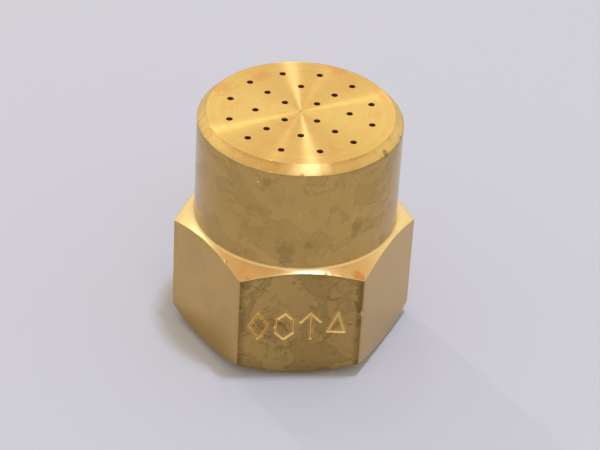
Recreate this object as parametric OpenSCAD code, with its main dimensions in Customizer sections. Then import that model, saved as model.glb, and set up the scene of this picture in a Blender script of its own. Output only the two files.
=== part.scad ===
// Open multi-jet spray head, turned from hexagonal brass bar.
// Frame: +Z is the way the water leaves, z = 0 is the inlet face, X runs through two hexagon corners.
// Water enters the threaded socket, passes the strainer, lifts the check valve against its
// spring, fills the chamber behind the spray disc and leaves through three rings of jets.

/* [Body] */
// Hexagon across its flats
hex_af = 27; // [26.5:0.5:32]
// Height of the top edge of a flat at its middle
hex_h = 16.2; // [15:0.1:18]
// Slope of the turned shoulder above the hexagon and of the chamfer under it, in degrees
hex_bevel = 30; // [15:1:35]
// Diameter of the flat inlet face
foot_d = 24.6; // [24:0.1:25.8]
// Diameter of the barrel
barrel_d = 26; // [25.8:0.1:26.4]
// Height of the whole head
total_h = 31.5; // [31.5:0.1:34]
// Chamfer round the spray face
rim_chamfer = 1; // [0.4:0.1:1]
// Round between the barrel and the shoulder
neck_round_r = 0.4; // [0.2:0.1:0.6]

/* [Inlet socket] */
// Minor diameter of the G 1/2 pipe thread, at which the socket is drawn
thread_minor_d = 18.631; // [18.5:0.001:18.7]
// Height of the 45 degree lead-in at the mouth
mouth_h = 1.6; // [1:0.1:1.8]
// Height at which the thread ends
thread_end = 10.6; // [9:0.1:10.7]
// Diameter of the relief groove behind the thread
relief_d = 21.2; // [21:0.1:22]
// Height of the ledge that closes the socket
ledge_h = 13.6; // [13.6:0.1:14]

/* [Spray disc] */
// Diameter of the disc that holds the jets
disc_d = 23.8; // [23.6:0.1:23.8]
// Thickness of the disc
disc_t = 3; // [2:0.1:3]
// Diameter of one jet
jet_d = 0.8; // [0.5:0.1:1.2]
// Pitch circle of the inner ring of jets
inner_pcd = 5.7; // [4:0.1:7]
// Pitch circle of the middle ring of jets
middle_pcd = 12; // [9:0.1:13]
// Pitch circle of the outer ring of jets
outer_pcd = 18.4; // [15:0.1:19]
// Turn of the whole jet pattern against the hexagon, in degrees
jet_turn = -4.5; // [-30:0.5:30]

/* [Check valve] */
// Bore of the pocket that the valve housing stands in
pocket_d = 17; // [16.8:0.1:17.2]
// Bore of the valve seat
port_d = 8.4; // [7:0.1:8.6]
// Lift of the poppet from its seat to fully open
lift = 1.8; // [1:0.1:1.8]
// Diameter of the valve stem
stem_d = 2.4; // [2:0.1:2.4]
// Diameter of the spring's wire
spring_wire_d = 0.4; // [0.3:0.05:0.45]
// Turns of the spring
spring_turns = 5.5; // [4:0.5:6]

/* [Strainer] */
// Width of one gauze wire
gauze_wire_d = 0.2; // [0.15:0.01:0.25]
// Distance from one gauze wire to the next
gauze_pitch = 0.7; // [0.6:0.05:1.2]
// Diameter of one hole in the plate behind the gauze
plate_hole_d = 1.9; // [1.5:0.1:2]

/* [Stamped marks] */
// Height of one mark
mark_h = 4; // [3:0.1:5]
// Width of one mark
mark_w = 2.5; // [2:0.1:3]
// Distance from one mark to the next
mark_pitch = 3.3; // [3:0.1:3.6]
// Height of the row of marks above the inlet face
mark_z = 8.1; // [6:0.1:9]
// Shift of the row along the flat
mark_shift = -0.3; // [-1:0.1:1]
// Width of a stamped stroke
stroke_w = 0.4; // [0.3:0.05:0.5]
// Depth of a stamped stroke
stroke_depth = 0.25; // [0.1:0.05:0.4]

/* [Hidden] */
$fn = 96;

// How far a cut runs past the surface that it opens
past = 1;
bevel_rise = tan(hex_bevel);
hex_r = hex_af / 2 / cos(30);
barrel_r = barrel_d / 2;
mouth_d = thread_minor_d + 2 * mouth_h;

// How far each jet of the middle ring was drilled off its pitch circle, outwards
middle_drift = [0.1, 0, 0, 0, -0.3, 0, -0.5, 0];

// Bores of the body, from the socket's ledge up to the spray disc
web_t = 1.4;
web_d = 12;
pocket_floor = ledge_h + web_t;
chamber_d = 20;
gasket_t = 0.4;
disc_z = total_h - disc_t;
disc_ledge = disc_z - gasket_t;

// Valve housing: it stands on the pocket's floor and is held down by the retaining ring
running_gap = 0.05;
housing_d = pocket_d - 0.2;
housing_top = pocket_floor + 9.1;
seat_floor = pocket_floor + 3;
seat_lip_h = 0.3;
seat_lip_w = 0.6;
seat_z = seat_floor + seat_lip_h;
valve_room_d = 14;
o_ring_wire_d = 1.2;
o_ring_z = pocket_floor + 1.5;
o_ring_groove_h = 1.6;
o_ring_groove_d = pocket_d - 2 * o_ring_wire_d;

// Retaining ring: an internal circlip in a groove above the housing
ring_t = 1;
ring_w = 1.5;
ring_play = 0.05;
ring_groove_d = pocket_d + 0.8;
ring_groove_top = housing_top + ring_t + 2 * ring_play;
ring_half_gap = 22;
lug_d = 2.2;
eye_d = 1.1;
chamber_floor = ring_groove_top + 0.2;

// Spring guide: a spider whose hub cups the top of the spring
guide_t = 1.2;
guide_d = valve_room_d + 1.4;
guide_rim_w = 0.9;
guide_rib_w = 1;
guide_z = housing_top - guide_t;
hub_d = 6.6;
hub_bore_d = 5.6;
hub_top = housing_top + 2.1;
spring_top = hub_top - 0.8;

// Poppet: rivet, retainer, seal and head, stacked up the stem
rivet_h = 0.5;
rivet_d = 4;
retainer_t = 0.5;
retainer_d = 6;
seal_t = 0.8;
seal_d = port_d + 1.8;
head_t = 1.2;
head_d = seal_d + 0.8;
head_skirt = 0.6;
head_z = seat_z + seal_t;
spring_floor = head_z + head_t;
boss_h = 0.7;
stem_top = hub_top - 0.2;
spring_mean_d = 4.8;

// Strainer and washer: the stack under the socket's ledge
plate_t = 0.5;
plate_d = 12.9;
plate_pitch = 2.4;
plate_rings = 2;
gauze_t = 2 * gauze_wire_d;
gauze_edge_w = 0.7;
rim_t = 1.2;
rim_d = thread_minor_d - 0.2;
rim_bore_d = 11.6;
rim_z = ledge_h - rim_t;
washer_t = 1.6;
washer_d = 19.8;
washer_bore_d = 12.6;

module solid(d, from, to) {
    translate([0, 0, from]) cylinder(d = d, h = to - from);
}

module tube(outer_d, inner_d, from, to) {
    difference() {
        solid(outer_d, from, to);
        solid(inner_d, from - past, to + past);
    }
}

// ---- Body ----

// Points of the hollow round between the shoulder and the barrel, tangent to both.
function neck_points(steps = 6) =
    let (
        foot = hex_h + (hex_af / 2 - barrel_r) * bevel_rise,
        centre = foot + neck_round_r * (1 - sin(hex_bevel)) / cos(hex_bevel)
    )
    [
        for (i = [0:steps])
            let (angle = 270 - hex_bevel - i * (90 - hex_bevel) / steps)
            [barrel_r + neck_round_r * (1 + cos(angle)), centre + neck_round_r * sin(angle)]
    ];

// The lathe's outline: foot chamfer, shoulder, neck, barrel and rim chamfer.
module turned_outline() {
    foot_r = foot_d / 2;
    reach = hex_r + past;
    apex = hex_h + hex_af / 2 * bevel_rise;
    polygon(concat(
        [
            [0, 0],
            [foot_r, 0],
            [reach, (reach - foot_r) * bevel_rise],
            [reach, apex - reach * bevel_rise]
        ],
        neck_points(),
        [
            [barrel_r, total_h - rim_chamfer],
            [barrel_r - rim_chamfer, total_h],
            [0, total_h]
        ]
    ));
}

// The hexagonal bar keeps its flats where the lathe's outline reaches past them.
module turned_bar() {
    intersection() {
        translate([0, 0, -past]) cylinder(r = hex_r, h = total_h + 2 * past, $fn = 6);
        rotate_extrude() turned_outline();
    }
}

// An arrow that points the way the water flows.
module arrow_mark() {
    drop = mark_h / 3;
    thick = 1.5 * stroke_w;
    tip = mark_h / 2;
    translate([-stroke_w / 2, -mark_h / 2]) square([stroke_w, mark_h - thick / 2]);
    polygon([
        [0, tip],
        [mark_w / 2, tip - drop],
        [mark_w / 2, tip - drop - thick],
        [0, tip - thick],
        [-mark_w / 2, tip - drop - thick],
        [-mark_w / 2, tip - drop]
    ]);
}

function mark_corners(sides, inset) = [
    for (i = [0:sides - 1])
        let (angle = 90 + 360 * i / sides, shrink = 1 - 2 * inset / mark_w)
        [mark_w / 2 * shrink * cos(angle), mark_h / 2 * shrink * sin(angle)]
];

module outline_mark(sides) {
    difference() {
        polygon(mark_corners(sides, 0));
        polygon(mark_corners(sides, stroke_w));
    }
}

// The row of plain marks on the front flat: lozenge, hexagon, arrow, triangle.
module stamped_marks() {
    sides = [4, 6, 0, 3];
    translate([mark_shift - 1.5 * mark_pitch, stroke_depth - hex_af / 2, mark_z])
        rotate([90, 0, 0])
            linear_extrude(stroke_depth + past)
                for (i = [0:len(sides) - 1])
                    translate([i * mark_pitch, 0])
                        if (sides[i] == 0) arrow_mark();
                        else outline_mark(sides[i]);
}

// The bores from the inlet mouth to the seat of the spray disc.
module body_bores() {
    translate([0, 0, -past])
        cylinder(d1 = mouth_d + 2 * past, d2 = thread_minor_d, h = mouth_h + past);
    solid(thread_minor_d, 0, ledge_h);
    solid(relief_d, thread_end, ledge_h);
    solid(web_d, ledge_h - past, pocket_floor + past);
    solid(pocket_d, pocket_floor, chamber_floor + past);
    solid(ring_groove_d, housing_top, ring_groove_top);
    solid(chamber_d, chamber_floor, disc_ledge + past);
    solid(disc_d, disc_ledge, total_h + past);
}

module hex_body() {
    color("goldenrod")
        difference() {
            turned_bar();
            body_bores();
            stamped_marks();
        }
}

// ---- Spray face ----

module jet_ring(count, pcd, first, drift = []) {
    for (i = [0:count - 1])
        rotate(jet_turn + first + i * 360 / count)
            translate([pcd / 2 + (i < len(drift) ? drift[i] : 0), 0, 0])
                solid(jet_d, disc_z - past, total_h + past, $fn = 24);
}

// The disc is pressed in and faced off with the body; its jets stand on three rings.
module spray_disc() {
    color("gold")
        difference() {
            solid(disc_d, disc_z, total_h);
            jet_ring(4, inner_pcd, 45);
            jet_ring(8, middle_pcd, 0, middle_drift);
            jet_ring(12, outer_pcd, 15);
        }
}

// A soft copper ring seals the disc on its ledge.
module disc_gasket() {
    color("peru") tube(disc_d - 0.2, chamber_d + 0.4, disc_ledge, disc_z);
}

// ---- Check valve, fixed parts ----

module valve_housing() {
    color("darkgoldenrod")
        difference() {
            solid(housing_d, pocket_floor, housing_top);
            solid(port_d, pocket_floor - past, seat_z + past);
            difference() {
                solid(valve_room_d, seat_floor, housing_top + past);
                solid(port_d + 2 * seat_lip_w, seat_floor - past, seat_z);
            }
            solid(guide_d, guide_z, housing_top + past);
            tube(
                housing_d + 2 * past, o_ring_groove_d,
                o_ring_z - o_ring_groove_h / 2, o_ring_z + o_ring_groove_h / 2
            );
        }
}

module housing_o_ring() {
    color("dimgray")
        translate([0, 0, o_ring_z])
            rotate_extrude()
                translate([(pocket_d - o_ring_wire_d) / 2, 0])
                    circle(d = o_ring_wire_d, $fn = 48);
}

module at_lugs() {
    lug_r = ring_groove_d / 2 - lug_d / 2 - 0.5;
    for (side = [-1, 1])
        rotate(side * ring_half_gap) translate([0, lug_r]) children();
}

// An open ring with an eyed lug on each side of its gap.
module retaining_ring() {
    outer_r = ring_groove_d / 2 - ring_play;
    gap_corner = 2 * outer_r * [sin(ring_half_gap), cos(ring_half_gap)];
    color("silver")
        translate([0, 0, housing_top + ring_play])
            linear_extrude(ring_t)
                difference() {
                    union() {
                        difference() {
                            circle(r = outer_r);
                            circle(r = outer_r - ring_w);
                            polygon([[0, 0], gap_corner, [-gap_corner[0], gap_corner[1]]]);
                        }
                        at_lugs() circle(d = lug_d, $fn = 48);
                    }
                    at_lugs() circle(d = eye_d, $fn = 24);
                }
}

// A rim, four ribs and a hub that guides the stem.
module spring_guide() {
    rib_l = guide_d - guide_rim_w;
    color("darkgoldenrod")
        difference() {
            union() {
                tube(guide_d, guide_d - 2 * guide_rim_w, guide_z, housing_top);
                solid(hub_d, guide_z, hub_top);
                for (turn = [0, 90])
                    rotate(turn)
                        translate([-rib_l / 2, -guide_rib_w / 2, guide_z])
                            cube([rib_l, guide_rib_w, guide_t]);
            }
            solid(hub_bore_d, guide_z - past, spring_top);
            solid(stem_d + 2 * running_gap, spring_top - past, hub_top + past);
        }
}

// A point on the spring's wire: turn counts along the coil, section goes round the wire.
function coil_point(turn, section) =
    let (
        wire_r = spring_wire_d / 2,
        span = spring_top - spring_floor - spring_wire_d,
        r = spring_mean_d / 2 + wire_r * cos(section),
        rise = wire_r + span * turn / spring_turns + wire_r * sin(section)
    )
    [r * cos(360 * turn), r * sin(360 * turn), spring_floor + rise];

module valve_spring() {
    sides = 8;
    steps = 16 * spring_turns;
    points = [
        for (i = [0:steps])
            for (j = [0:sides - 1])
                coil_point(i * spring_turns / steps, 360 * j / sides)
    ];
    walls = [
        for (i = [0:steps - 1])
            for (j = [0:sides - 1])
                let (next = (j + 1) % sides)
                [i * sides + j, (i + 1) * sides + j, (i + 1) * sides + next, i * sides + next]
    ];
    first_end = [for (j = [0:sides - 1]) j];
    last_end = [for (j = [sides - 1:-1:0]) steps * sides + j];
    color("silver")
        polyhedron(points, concat(walls, [first_end, last_end]), convexity = 12);
}

// ---- Check valve, moving parts ----

// The stem is riveted over under the retainer, and runs in the guide's hub.
module valve_stem() {
    rivet_z = seat_z - retainer_t - rivet_h;
    color("silver") {
        solid(rivet_d, rivet_z, rivet_z + rivet_h);
        solid(stem_d, rivet_z, stem_top);
    }
}

module poppet_head() {
    boss_d = spring_mean_d - spring_wire_d - 0.6;
    boss_top = spring_floor + boss_h;
    color("darkgoldenrod")
        difference() {
            union() {
                solid(head_d, head_z - head_skirt, spring_floor);
                solid(boss_d, head_z, boss_top);
            }
            solid(seal_d, head_z - head_skirt - past, head_z);
            solid(stem_d, head_z - past, boss_top + past);
        }
}

module poppet_seal() {
    color("dimgray") tube(seal_d, stem_d, seat_z, head_z);
}

module seal_retainer() {
    color("silver") tube(retainer_d, stem_d, seat_z - retainer_t, seat_z);
}

// ---- Strainer and inlet seal ----

// The rim is recessed from above for the gauze and the plate behind it.
module strainer_rim() {
    color("darkgoldenrod")
        difference() {
            tube(rim_d, rim_bore_d, rim_z, ledge_h);
            solid(plate_d + 0.1, ledge_h - plate_t - gauze_t, ledge_h + past);
        }
}

// Two layers of wires cross inside a rolled edge.
module strainer_gauze() {
    count = floor(plate_d / 2 / gauze_pitch);
    color("silver")
        translate([0, 0, ledge_h - plate_t - gauze_t]) {
            tube(plate_d, plate_d - 2 * gauze_edge_w, 0, gauze_t);
            intersection() {
                solid(plate_d - gauze_edge_w, 0, gauze_t);
                for (layer = [0, 1])
                    for (i = [-count:count])
                        rotate(90 * layer)
                            translate([
                                -plate_d / 2,
                                i * gauze_pitch - gauze_wire_d / 2,
                                layer * gauze_wire_d
                            ])
                                cube([plate_d, gauze_wire_d, gauze_wire_d]);
            }
        }
}

// The plate has one hole in the middle, six round that and twelve round those.
module support_plate() {
    color("silver")
        difference() {
            solid(plate_d, ledge_h - plate_t, ledge_h);
            for (ring = [0:plate_rings])
                for (i = [0:max(6 * ring, 1) - 1])
                    rotate(i * 360 / max(6 * ring, 1))
                        translate([ring * plate_pitch, 0, 0])
                            solid(plate_hole_d, rim_z, ledge_h + past, $fn = 32);
        }
}

module inlet_washer() {
    color("firebrick") tube(washer_d, washer_bore_d, rim_z - washer_t, rim_z);
}

hex_body();
spray_disc();
disc_gasket();
valve_housing();
housing_o_ring();
retaining_ring();
spring_guide();
valve_spring();
valve_stem();
poppet_head();
poppet_seal();
seal_retainer();
strainer_rim();
strainer_gauze();
support_plate();
inlet_washer();
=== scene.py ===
"""Looks of an open multi-jet fire spray head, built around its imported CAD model.

Lengths are in millimetres until a mesh is made, when MM turns them into metres.
The frame is the CAD's: +Z is the way the water leaves, and -Y is the flat with the stamped row.
"""
import math
from contextlib import contextmanager

import bmesh
import bpy
import numpy as np
from mathutils import Matrix, Vector, noise


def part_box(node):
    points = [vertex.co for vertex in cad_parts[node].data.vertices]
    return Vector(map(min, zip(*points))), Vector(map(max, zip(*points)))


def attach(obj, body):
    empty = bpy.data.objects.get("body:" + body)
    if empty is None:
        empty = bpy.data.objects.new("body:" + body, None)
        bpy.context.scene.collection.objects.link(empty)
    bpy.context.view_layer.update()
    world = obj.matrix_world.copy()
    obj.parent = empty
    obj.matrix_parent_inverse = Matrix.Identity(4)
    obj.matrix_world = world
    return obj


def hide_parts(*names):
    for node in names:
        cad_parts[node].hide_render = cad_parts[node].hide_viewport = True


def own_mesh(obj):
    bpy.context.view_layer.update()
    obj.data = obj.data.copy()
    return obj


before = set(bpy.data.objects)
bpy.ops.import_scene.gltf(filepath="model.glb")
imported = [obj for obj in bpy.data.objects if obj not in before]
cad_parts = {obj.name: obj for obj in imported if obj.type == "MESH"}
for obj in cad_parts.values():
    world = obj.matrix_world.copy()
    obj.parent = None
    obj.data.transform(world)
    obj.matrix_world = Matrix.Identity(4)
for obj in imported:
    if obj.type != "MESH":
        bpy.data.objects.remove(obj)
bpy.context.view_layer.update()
MM = 0.001


def low(node):
    """Lowest corner of a CAD node, in millimetres."""
    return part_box(node)[0] / MM


def high(node):
    """Highest corner of a CAD node, in millimetres."""
    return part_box(node)[1] / MM


# ---- Sizes that the frame gives ----

TOP = high("hex_body").z
FLAT = high("hex_body").y
DISC_R = high("spray_disc").x
DISC_Z = low("spray_disc").z
DISC_LEDGE = low("disc_gasket").z
HOUSING_R = high("valve_housing").x
POCKET_FLOOR = low("valve_housing").z
HOUSING_TOP = high("valve_housing").z
SEAT_Z = low("poppet_seal").z
SPRING_FLOOR = low("valve_spring").z
SPRING_TOP = high("valve_spring").z
SPRING_R = high("valve_spring").x
LEDGE = high("strainer_rim").z
RIM_Z = low("strainer_rim").z
RIM_R = high("strainer_rim").x
GAUZE_LOW = low("strainer_gauze").z
GAUZE_HIGH = high("strainer_gauze").z
GAUZE_R = high("strainer_gauze").x

# ---- Sizes of the body that its box doesn't give, as in the CAD ----

SLOPE = math.tan(math.radians(30))
HEX_TOP = 16.2
FOOT_R = 12.3
BARREL_R = 13.0
RIM_CHAMFER = 1.0
NECK_ROUND = 0.4
CHAMBER_R = 10.0
POCKET_R = HOUSING_R + 0.1
GROOVE_R = POCKET_R + 0.4
GROOVE_TOP = HOUSING_TOP + 1.1
WEB_R = 6.0
RELIEF_R = 10.6
MOUTH_DEPTH = 1.6
THREAD_END = 10.6
THREAD_MINOR_R = 9.3155
THREAD_PITCH = 1.814
THREAD_DEPTH = 1.162

# ---- Rounds and mesh steps of the body ----

CORNER_ROUND = 0.4
EDGE_ROUND = 0.12
# Small chamfer on both sides of the joint between the body and the disc.
JOINT_EASE = 0.03
CORNER_STEPS = 3
ARC_STEPS = 3
FLAT_COLUMNS = 40
WALL_ROWS = 36
THREAD_ROWS = 12
# Lengths that each straight run of the outside is cut into, from the mouth to the disc.
OUTER_RUNS = (1, 4, WALL_ROWS, 4, 28, 3, 1, 1)
INNER_RUN = 2
# How often the mesh is cut finer at the stamped row and at a knock.
MARK_CUTS = 6
KNOCK_CUTS = 3
# Points nearer to each other than this are joined, on the body and on the other pieces.
BODY_MERGE_REACH = 1e-4
MERGE_REACH = 1e-3
# A point this near to the front flat's plane is on it.
ON_PLANE = 1e-3

# ---- Spray face ----

# Distance between the feed marks that the lathe tool left.
GROOVE_PITCH = 0.30
JET_R = 0.4
JET_EASE = 0.04
JET_SIDES = 32
# How far the whole pattern is turned against the hexagon, in degrees.
JET_TURN = -4.5
# How far each jet of the middle ring was drilled off its circle, outwards.
MIDDLE_DRIFT = (0.1, 0, 0, 0, -0.3, 0, -0.5, 0)
# Count, pitch radius, first angle and drift of each ring.
JET_RINGS = ((4, 2.85, 45, ()), (8, 6.0, 0, MIDDLE_DRIFT), (12, 9.2, 15, ()))
# How far the drills stand out of the disc, and the pip that the centre drill left.
DRILL_REACH = 0.1
PIP_R = 0.16
PIP_DEPTH = 0.10

# ---- Stamped row on the front flat ----

# Half the width and half the height of a mark, and the middle of the row as (x, z).
MARK_HALF = (1.25, 2.0)
MARK_PITCH = 3.3
MARK_CENTRE = (-0.3, 8.1)
# Half the size of the part of the flat that is meshed finely.
MARK_WINDOW = (6.9, 2.8)
MARK_DEPTH = 0.24
STROKE_HALF = 0.21
# The metal sinks beside a stroke: share of the stroke's depth, and place and width in half strokes.
SINK_SHARE = 0.12
SINK_PLACE = 2.2
SINK_WIDTH = 0.8
# Each punch was struck by hand: turn in degrees, rise, and how hard it was hit.
MARK_HITS = ((3.0, 0.06, 1.0), (-2.0, -0.05, 0.9), (1.5, 0.03, 0.75), (-3.5, 0.10, 0.6))
# Round pits where the corner of a punch dug in: (x, z), radius and depth.
PITS = (((-5.3, 6.15), 0.32, 0.28), ((-3.15, 7.9), 0.29, 0.25), ((1.35, 6.1), 0.22, 0.16))

# ---- Wear ----

# Knocks on the edges: centre, size, and how far the metal is pushed in (out, if negative).
KNOCKS = (
    ((7.75, -13.45, 10.1), 0.6, 0.25),
    ((-7.7, -13.4, 4.1), 0.5, 0.12),
    ((-9.6, -10.5, 16.0), 0.5, -0.20),
    ((12.2, -4.4, 30.6), 0.7, 0.14),
    ((-0.85, -12.97, 30.5), 0.35, 0.10),
    ((-4.8, -12.1, 30.5), 0.4, -0.07),
    ((-5.97, -11.55, 28.9), 0.36, 0.16),
    ((3.1, -13.5, 16.1), 0.3, 0.10),
    ((12.9, 8.3, 15.0), 0.6, 0.2),
)
# How far round a knock the mesh is made finer, in sizes of the knock.
KNOCK_REACH = 1.6
# Depth of the unevenness along the edges, and how often its two waves come.
EDGE_WEAR = 0.05
EDGE_WAVES = (2.5, 0.7)
# Heights over which the clean cut of the shoulder begins, and over which it ends.
SHOULDER_BEGINS = (HEX_TOP - 2.5, HEX_TOP - 2.4)
SHOULDER_ENDS = (16.55, 16.85)
# How tarnished each flat is, counted round from the first corner on +X; the fifth is the stamped one.
# The levels are partly painted shade: the stamped front flat is painted darkest and the flats beside it
# lightest.
FLAT_TARNISH_AND_SHADE = (0.25, 0.7, 0.4, 0.15, 1.0, 0.1)
BARREL_TARNISH = 0.45
BORE_TARNISH = 0.5
# Stains, each a centre and a radius: dark ones on the walls and the rim, warm ones where cut.
WALL_BLOTS = (
    ((-2.5, -12.8, 19.4), 1.3),
    ((-2.2, -12.8, 17.9), 1.0),
    ((0.5, -13.0, 20.1), 0.8),
    ((6.6, -11.2, 21.6), 1.1),
    ((-5.0, -12.0, 29.0), 0.7),
    ((12.6, 3.0, 22.0), 1.1),
    ((-8.0, 10.2, 19.0), 1.2),
)
RIM_BLOTS = (((9.7, -8.1, 30.6), 0.5), ((-10.5, 7.0, 30.9), 0.6))
WARM_BLOTS = (((7.3, -13.2, 15.6), 1.0), ((-7.0, -13.4, 15.7), 0.5), ((12.6, 7.0, 15.8), 0.9))
FACE_BLOTS = (
    ((-9.6, 5.4, 31.5), 1.9),
    ((5.6, 10.4, 31.5), 1.6),
    ((-4.4, 8.5, 31.5), 1.2),
    ((10.8, 3.4, 31.5), 0.7),
)

# ---- Colours of the brass ----

CLEAN_BRASS = (0.93, 0.60, 0.17)
PALE_BRASS = (0.97, 0.67, 0.24)
SCUFFED_BRASS = (1.0, 0.76, 0.36)
RED_BRASS = (0.86, 0.44, 0.13)
DULL_BRASS = (0.56, 0.36, 0.12)
TARNISH = (0.22, 0.14, 0.045)
STAIN = (0.15, 0.08, 0.03)
# Painted shade: the dark brown given to the walls of the spray face's jets.
JET_WALL_SHADE_BROWN = (0.14, 0.048, 0.012)

# ---- Valve and strainer sizes that the frame doesn't give, as in the CAD ----

PORT_R = 4.2
LIP_R = 4.8
LIP_H = 0.3
ROOM_R = 7.0
O_RING_WIRE = 1.2
# How much wider than the O-ring its groove is, above and below.
O_RING_PLAY = 0.2
STEM_R = 1.2
# How far the poppet's boss stands inside the spring's outside.
BOSS_GAP = 0.7
SPRING_WIRE_R = 0.2
WORKING_TURNS = 5.5
# Width of the gauze's rolled edge.
GAUZE_EDGE = 0.7
GAUZE_PITCH = 0.7
GAUZE_WIRE_R = 0.1
WASHER_BORE_R = 6.3

# ---- Mesh steps of the valve and the strainer ----

FINE_COLUMNS = 128
DISC_COLUMNS = 192
O_RING_SIDES = 24
SPRING_STEPS = 40
SPRING_SIDES = 12
# Steps of a gauze wire from one crossing to the next.
CROSSING_STEPS = 6

# ---- Room and camera ----

PALE_WALL = (1.0, 0.98, 0.90)
WARM_CEILING = (0.66, 0.45, 0.30)
CAMERA_AZIMUTH = -6.0
CAMERA_ELEVATION = 34.7
CAMERA_ROLL = -3.25
CAMERA_DISTANCE = 312
CAMERA_LENS = 145.4
CAMERA_PAN = 0.13
CAMERA_TILT = 0.23


# ---- Mesh helpers ----

def arc_points(before, corner, after, radius, steps):
    """A round of about this radius at a corner between two straight runs."""
    to_before = (before - corner) / np.linalg.norm(before - corner)
    to_after = (after - corner) / np.linalg.norm(after - corner)
    angle = math.acos(max(-1.0, min(1.0, float(to_before @ to_after))))
    reach = radius / math.tan(angle / 2)
    start = corner + to_before * reach
    finish = corner + to_after * reach
    shares = np.linspace(0, 1, steps + 1)
    return [(1 - s) ** 2 * start + 2 * s * (1 - s) * corner + s * s * finish for s in shares]


def trace(corners, runs=None, closed=False, steps=ARC_STEPS):
    """Points along (r, z, radius) corners, and for each point 1 on a round and 0 on a straight run.

    runs says into how many equal lengths each straight run is cut.
    """
    places = [np.array(c[:2], float) for c in corners]
    count = len(corners)
    groups = []
    for i, (_, _, radius) in enumerate(corners):
        at_end = not closed and i in (0, count - 1)
        if at_end or radius == 0:
            groups.append([places[i]])
        else:
            groups.append(arc_points(places[i - 1], places[i], places[(i + 1) % count], radius, steps))
    path, on_round = [], []
    for i, group in enumerate(groups):
        path += group
        on_round += [float(len(group) > 1)] * len(group)
        if i == count - 1 and not closed:
            break
        cuts = runs[i] if runs else 1
        start, finish = group[-1], groups[(i + 1) % count][0]
        for step in range(1, cuts):
            path.append(start + (finish - start) * step / cuts)
            on_round.append(0.0)
    return path, on_round


def revolved(outline, columns=96, closed=True):
    """Vertices and faces of an outline turned round Z. An open outline starts and ends on the axis."""
    verts, faces, rings = [], [], []
    for r, z in outline:
        if r < 1e-6:
            rings.append([len(verts)])
            verts.append((0.0, 0.0, z))
            continue
        rings.append(list(range(len(verts), len(verts) + columns)))
        for i in range(columns):
            angle = 2 * math.pi * i / columns
            verts.append((r * math.cos(angle), r * math.sin(angle), z))
    pairs = list(zip(rings, rings[1:] + rings[:1]))
    for lower, upper in pairs if closed else pairs[:-1]:
        for i in range(columns):
            j = (i + 1) % columns
            below = [lower[i % len(lower)], lower[j % len(lower)]]
            above = [upper[j % len(upper)], upper[i % len(upper)]]
            faces.append(list(dict.fromkeys(below + above)))
    return verts, faces


def swept(path, radius, sides=8, closed=False):
    """Vertices and faces of a round wire along a path of points."""
    path = [Vector(p) for p in path]
    count = len(path)
    verts, faces = [], []
    side = None
    for i, point in enumerate(path):
        if closed:
            along = path[(i + 1) % count] - path[i - 1]
        else:
            along = path[min(i + 1, count - 1)] - path[max(i - 1, 0)]
        along.normalize()
        if side is None:
            side = along.orthogonal()
        side = (side - along * side.dot(along)).normalized()
        other = along.cross(side)
        for j in range(sides):
            angle = 2 * math.pi * j / sides
            verts.append(tuple(point + (side * math.cos(angle) + other * math.sin(angle)) * radius))
    for i in range(count if closed else count - 1):
        for j in range(sides):
            k = (j + 1) % sides
            here, after = i * sides, (i + 1) % count * sides
            faces.append([here + j, here + k, after + k, after + j])
    if not closed:
        faces.append(list(range(sides))[::-1])
        faces.append([(count - 1) * sides + j for j in range(sides)])
    return verts, faces


def joined(shapes):
    """One list of vertices and one of faces from several."""
    verts, faces = [], []
    for more_verts, more_faces in shapes:
        start = len(verts)
        verts += more_verts
        faces += [[start + i for i in face] for face in more_faces]
    return verts, faces


def new_object(name, data):
    """An object of this mesh, lamp or camera, in the scene."""
    made = bpy.data.objects.new(name, data)
    bpy.context.scene.collection.objects.link(made)
    return made


@contextmanager
def editing(mesh):
    """A mesh opened for editing, and written back afterwards."""
    edit = bmesh.new()
    edit.from_mesh(mesh)
    yield edit
    edit.to_mesh(mesh)
    edit.free()


def mesh_object(name, shape):
    mesh = bpy.data.meshes.new(name)
    verts, faces = shape
    mesh.from_pydata([(x * MM, y * MM, z * MM) for x, y, z in verts], [], faces)
    piece = new_object(name, mesh)
    with editing(mesh) as edit:
        bmesh.ops.recalc_face_normals(edit, faces=edit.faces)
    return piece


def cut(piece, shape):
    """Cuts a closed shape out of a piece, for good."""
    cutter = mesh_object("cutter", shape)
    change = piece.modifiers.new("cut", "BOOLEAN")
    change.operation = "DIFFERENCE"
    change.solver = "EXACT"
    change.object = cutter
    bake_modifiers(piece)
    bpy.data.objects.remove(cutter)
    merge_close(piece.data)


def merge_close(mesh):
    """Joins the points of a mesh that lie on each other."""
    with editing(mesh) as edit:
        bmesh.ops.remove_doubles(edit, verts=edit.verts, dist=MERGE_REACH * MM)


def bake_modifiers(piece):
    """Turns a piece's modifiers into plain mesh."""
    depsgraph = bpy.context.evaluated_depsgraph_get()
    mesh = bpy.data.meshes.new_from_object(piece.evaluated_get(depsgraph))
    piece.modifiers.clear()
    piece.data = mesh


def finish_piece(piece, material, body, node, sharp=40):
    """Shades a piece, gives it its material and puts it in the frame in its CAD node's place."""
    mesh = piece.data
    mesh.shade_smooth()
    mesh.set_sharp_from_angle(angle=math.radians(sharp))
    normals = piece.modifiers.new("even normals", "WEIGHTED_NORMAL")
    normals.keep_sharp = True
    bake_modifiers(piece)
    piece.data.materials.clear()
    piece.data.materials.append(material)
    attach(piece, body)
    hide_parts(node)


def turned_piece(name, corners, material, body, node, columns=96, closed=True):
    """A lathe-turned piece from (r, z, radius) corners."""
    outline, _ = trace(corners, closed=closed)
    piece = mesh_object(name, revolved(outline, columns, closed))
    finish_piece(piece, material, body, node)


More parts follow.
